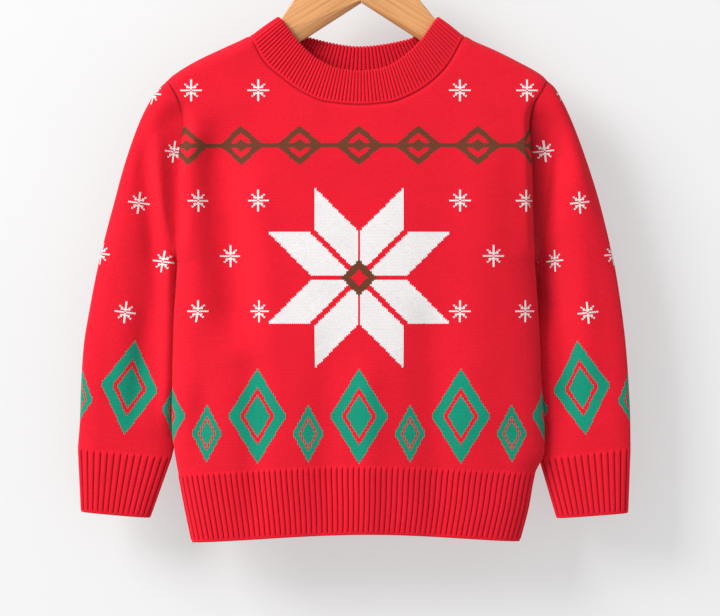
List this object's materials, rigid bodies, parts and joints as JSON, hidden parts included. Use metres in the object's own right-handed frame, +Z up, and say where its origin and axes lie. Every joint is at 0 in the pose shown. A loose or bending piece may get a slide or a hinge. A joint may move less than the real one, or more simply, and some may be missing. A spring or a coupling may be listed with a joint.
{
  "type": "christmas sweater on a hanger",
  "caption": "Child's red knitted Christmas sweater with a round ribbed neck, long sleeves and ribbed hem and cuffs, hanging flat on a wooden hanger with a wire hook.",
  "frame": {"origin": "inner top of the hanger's hook, where it rests on a rail", "axes": "+Z up, the front of the sweater faces -Y, +X to the right as seen from the front"},
  "size_m": [0.4779, 0.0507, 0.5778],
  "materials": {
    "body_knit": "fine plain knit, matt, red with a coloured design",
    "sleeve_knit": "fine plain knit, matt, red with a coloured design",
    "hem_rib_knit": "ribbed knit, matt",
    "cuff_rib_knit": "ribbed knit, matt",
    "neckband_knit": "fine ribbed knit, folded double, matt",
    "hanger_wood": "pale lacquered beech, satin",
    "hook_steel": "bright plated steel wire"
  },
  "bodies": {
    "root": {"front_panel": "body_knit", "back_panel": "body_knit", "hem_rib_front": "hem_rib_knit", "hem_rib_back": "hem_rib_knit", "sleeve_left": "sleeve_knit", "sleeve_right": "sleeve_knit", "cuff_left": "cuff_rib_knit", "cuff_right": "cuff_rib_knit", "neckband": "neckband_knit", "hanger_arm_left": "hanger_wood", "hanger_arm_right": "hanger_wood", "hook": "hook_steel"}
  },
  "joints": []
}
